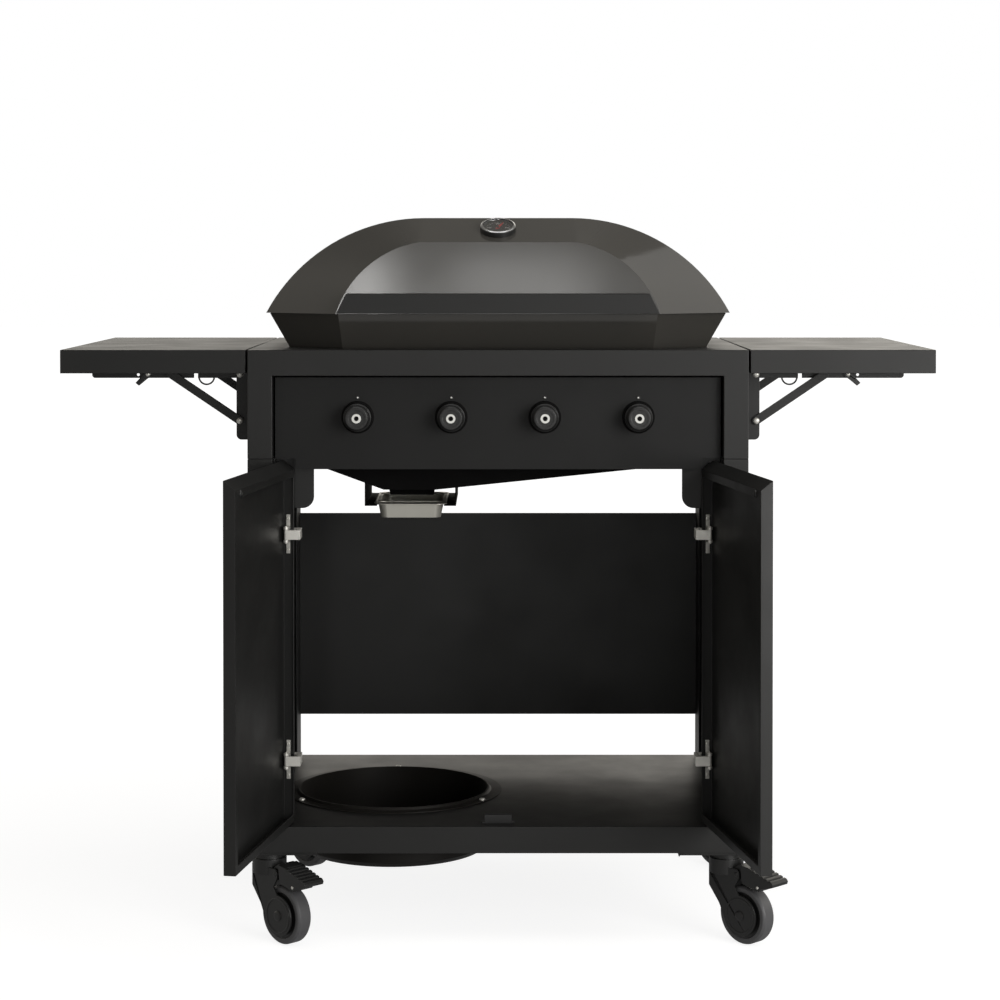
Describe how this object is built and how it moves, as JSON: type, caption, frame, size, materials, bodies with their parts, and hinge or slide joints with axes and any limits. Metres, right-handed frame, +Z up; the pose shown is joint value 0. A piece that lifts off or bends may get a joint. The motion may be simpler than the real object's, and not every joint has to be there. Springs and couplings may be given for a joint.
{
  "type": "gas grill",
  "caption": "Free-standing gas grill on a wheeled cart, with a faceted barrel lid, burner knobs, folding side tables and a hinged-door cabinet with a gas bottle well.",
  "frame": {"origin": "on the floor under the middle of the whole box, with the doors open and the tables raised", "axes": "+Z up, +X to the right of someone facing the knobs, -Y towards that person"},
  "size_m": [1.338, 0.8518, 1.1129],
  "materials": {
    "cart_powder_coat": "black textured powder coat",
    "lid_enamel": "satin dark warm grey enamel",
    "stainless": "brushed stainless sheet",
    "zinc_plate": "bright zinc plate",
    "chrome": "polished chrome",
    "brass": "turned brass",
    "cast_iron": "seasoned cast iron",
    "black_plastic": "moulded black plastic",
    "tread": "dark grey moulded tread",
    "dial_glass": "clear dial glass",
    "needle_paint": "red painted needle"
  },
  "bodies": {
    "cart": {"base_tray": "cart_powder_coat", "bottle_tray": "cart_powder_coat", "legs": "cart_powder_coat", "side_panels": "cart_powder_coat", "back_panel": "cart_powder_coat", "corner_gussets": "cart_powder_coat", "door_catch": "black_plastic", "upper_frame": "cart_powder_coat", "control_panel": "cart_powder_coat", "knob_bezels": "black_plastic", "gas_valves": "brass", "gas_manifold": "brass", "burners": "stainless", "heat_tents": "stainless", "cooking_grates": "cast_iron", "firebox": "lid_enamel", "firebox_rails": "stainless", "grease_hopper": "cart_powder_coat", "lid_hinge_posts": "cart_powder_coat", "hinge_arms": "zinc_plate", "table_brackets": "cart_powder_coat", "caster_plates": "zinc_plate", "screws": "zinc_plate"},
    "lid": {"lid_shell": "lid_enamel", "lid_handle": "cart_powder_coat", "thermometer_case": "chrome", "thermometer_glass": "dial_glass"},
    "dial_needle": {"thermometer_needle": "needle_paint"},
    "drip_tray": {"drip_tray": "stainless"},
    "left_door": {"left_door": "cart_powder_coat", "left_hinge_leaves": "zinc_plate"},
    "left_table": {"left_table": "cart_powder_coat", "left_table_arms": "cart_powder_coat"},
    "left_struts": {"left_struts": "cart_powder_coat"},
    "left_levers": {"left_release_levers": "black_plastic"},
    "right_door": {"right_door": "cart_powder_coat", "right_hinge_leaves": "zinc_plate"},
    "right_table": {"right_table": "cart_powder_coat", "right_table_arms": "cart_powder_coat"},
    "right_struts": {"right_struts": "cart_powder_coat"},
    "right_levers": {"right_release_levers": "black_plastic"},
    "spindle_1": {"valve_spindle_1": "brass"},
    "knob_1": {"knob_1": "black_plastic"},
    "spindle_2": {"valve_spindle_2": "brass"},
    "knob_2": {"knob_2": "black_plastic"},
    "spindle_3": {"valve_spindle_3": "brass"},
    "knob_3": {"knob_3": "black_plastic"},
    "spindle_4": {"valve_spindle_4": "brass"},
    "knob_4": {"knob_4": "black_plastic"},
    "front_left_caster": {"front_left_caster_fork": "black_plastic"},
    "front_left_wheel": {"front_left_wheel": "tread"},
    "front_left_brake": {"front_left_brake_pedal": "black_plastic"},
    "front_right_caster": {"front_right_caster_fork": "black_plastic"},
    "front_right_wheel": {"front_right_wheel": "tread"},
    "front_right_brake": {"front_right_brake_pedal": "black_plastic"},
    "rear_left_caster": {"rear_left_caster_fork": "black_plastic"},
    "rear_left_wheel": {"rear_left_wheel": "tread"},
    "rear_right_caster": {"rear_right_caster_fork": "black_plastic"},
    "rear_right_wheel": {"rear_right_wheel": "tread"}
  },
  "joints": [
    {"name": "lid_hinge", "type": "hinge", "parent": "cart", "child": "lid", "pos_m": [0, 0.41585, 0.972], "axis": [-1, 0, 0], "range_deg": [0, 95]},
    {"name": "needle_turn", "type": "hinge", "parent": "lid", "child": "dial_needle", "pos_m": [0, -0.06065, 1.0935], "axis": [0, -0.4425, 0.8967], "range_deg": [-120, 120], "stiffness_Nm_per_rad": 0.002},
    {"name": "drip_tray_slide", "type": "slide", "parent": "cart", "child": "drip_tray", "axis": [0, -1, 0], "range_m": [0, 0.14]},
    {"name": "left_door_hinge", "type": "hinge", "parent": "cart", "child": "left_door", "pos_m": [-0.325, -0.10515, 0.45], "axis": [0, 0, 1], "range_deg": [-10.7, 99.3]},
    {"name": "left_table_fold", "type": "hinge", "parent": "cart", "child": "left_table", "pos_m": [-0.402, 0.15585, 0.869], "axis": [0, -1, 0], "range_deg": [0, 90]},
    {"name": "left_strut_fold", "type": "hinge", "parent": "cart", "child": "left_struts", "pos_m": [-0.402, 0.15585, 0.797], "axis": [0, -1, 0], "range_deg": [0, 124.1]},
    {"name": "left_lever_press", "type": "hinge", "parent": "left_table", "child": "left_levers", "pos_m": [-0.5456, 0.15585, 0.869], "axis": [0, 1, 0], "range_deg": [0, 15], "stiffness_Nm_per_rad": 0.4},
    {"name": "right_door_hinge", "type": "hinge", "parent": "cart", "child": "right_door", "pos_m": [0.325, -0.10515, 0.45], "axis": [0, 0, -1], "range_deg": [-10.7, 99.3]},
    {"name": "right_table_fold", "type": "hinge", "parent": "cart", "child": "right_table", "pos_m": [0.402, 0.15585, 0.869], "axis": [0, 1, 0], "range_deg": [0, 90]},
    {"name": "right_strut_fold", "type": "hinge", "parent": "cart", "child": "right_struts", "pos_m": [0.402, 0.15585, 0.797], "axis": [0, 1, 0], "range_deg": [0, 124.1]},
    {"name": "right_lever_press", "type": "hinge", "parent": "right_table", "child": "right_levers", "pos_m": [0.5456, 0.15585, 0.869], "axis": [0, -1, 0], "range_deg": [0, 15], "stiffness_Nm_per_rad": 0.4},
    {"name": "knob_1_push", "type": "slide", "parent": "cart", "child": "spindle_1", "axis": [0, 1, 0], "range_m": [0, 0.004], "stiffness_N_per_m": 1500},
    {"name": "knob_1_turn", "type": "hinge", "parent": "spindle_1", "child": "knob_1", "pos_m": [-0.2154, -0.12015, 0.806], "axis": [0, 1, 0], "range_deg": [-180, 0]},
    {"name": "knob_2_push", "type": "slide", "parent": "cart", "child": "spindle_2", "axis": [0, 1, 0], "range_m": [0, 0.004], "stiffness_N_per_m": 1500},
    {"name": "knob_2_turn", "type": "hinge", "parent": "spindle_2", "child": "knob_2", "pos_m": [-0.0718, -0.12015, 0.806], "axis": [0, 1, 0], "range_deg": [-180, 0]},
    {"name": "knob_3_push", "type": "slide", "parent": "cart", "child": "spindle_3", "axis": [0, 1, 0], "range_m": [0, 0.004], "stiffness_N_per_m": 1500},
    {"name": "knob_3_turn", "type": "hinge", "parent": "spindle_3", "child": "knob_3", "pos_m": [0.0718, -0.12015, 0.806], "axis": [0, 1, 0], "range_deg": [-180, 0]},
    {"name": "knob_4_push", "type": "slide", "parent": "cart", "child": "spindle_4", "axis": [0, 1, 0], "range_m": [0, 0.004], "stiffness_N_per_m": 1500},
    {"name": "knob_4_turn", "type": "hinge", "parent": "spindle_4", "child": "knob_4", "pos_m": [0.2154, -0.12015, 0.806], "axis": [0, 1, 0], "range_deg": [-180, 0]},
    {"name": "front_left_swivel", "type": "hinge", "parent": "cart", "child": "front_left_caster", "pos_m": [-0.353, -0.08215, 0.12], "axis": [0, 0, 1], "continuous": true},
    {"name": "front_left_roll", "type": "hinge", "parent": "front_left_caster", "child": "front_left_wheel", "pos_m": [-0.32401, -0.11114, 0.0445], "axis": [0.7071, 0.7071, 0], "continuous": true},
    {"name": "front_left_brake_press", "type": "hinge", "parent": "front_left_caster", "child": "front_left_brake", "pos_m": [-0.32896, -0.10619, 0.107], "axis": [0.7071, 0.7071, 0], "range_deg": [0, 8]},
    {"name": "front_right_swivel", "type": "hinge", "parent": "cart", "child": "front_right_caster", "pos_m": [0.353, -0.08215, 0.12], "axis": [0, 0, 1], "continuous": true},
    {"name": "front_right_roll", "type": "hinge", "parent": "front_right_caster", "child": "front_right_wheel", "pos_m": [0.38199, -0.11114, 0.0445], "axis": [0.7071, 0.7071, 0], "continuous": true},
    {"name": "front_right_brake_press", "type": "hinge", "parent": "front_right_caster", "child": "front_right_brake", "pos_m": [0.37704, -0.10619, 0.107], "axis": [0.7071, 0.7071, 0], "range_deg": [0, 8]},
    {"name": "rear_left_swivel", "type": "hinge", "parent": "cart", "child": "rear_left_caster", "pos_m": [-0.353, 0.39385, 0.12], "axis": [0, 0, 1], "continuous": true},
    {"name": "rear_left_roll", "type": "hinge", "parent": "rear_left_caster", "child": "rear_left_wheel", "pos_m": [-0.32401, 0.36486, 0.0445], "axis": [0.7071, 0.7071, 0], "continuous": true},
    {"name": "rear_right_swivel", "type": "hinge", "parent": "cart", "child": "rear_right_caster", "pos_m": [0.353, 0.39385, 0.12], "axis": [0, 0, 1], "continuous": true},
    {"name": "rear_right_roll", "type": "hinge", "parent": "rear_right_caster", "child": "rear_right_wheel", "pos_m": [0.38199, 0.36486, 0.0445], "axis": [0.7071, 0.7071, 0], "continuous": true}
  ],
  "couplings": [
    {"joint": "left_strut_fold", "follows": "left_table_fold", "ratio": 1.3784},
    {"joint": "right_strut_fold", "follows": "right_table_fold", "ratio": 1.3784}
  ]
}
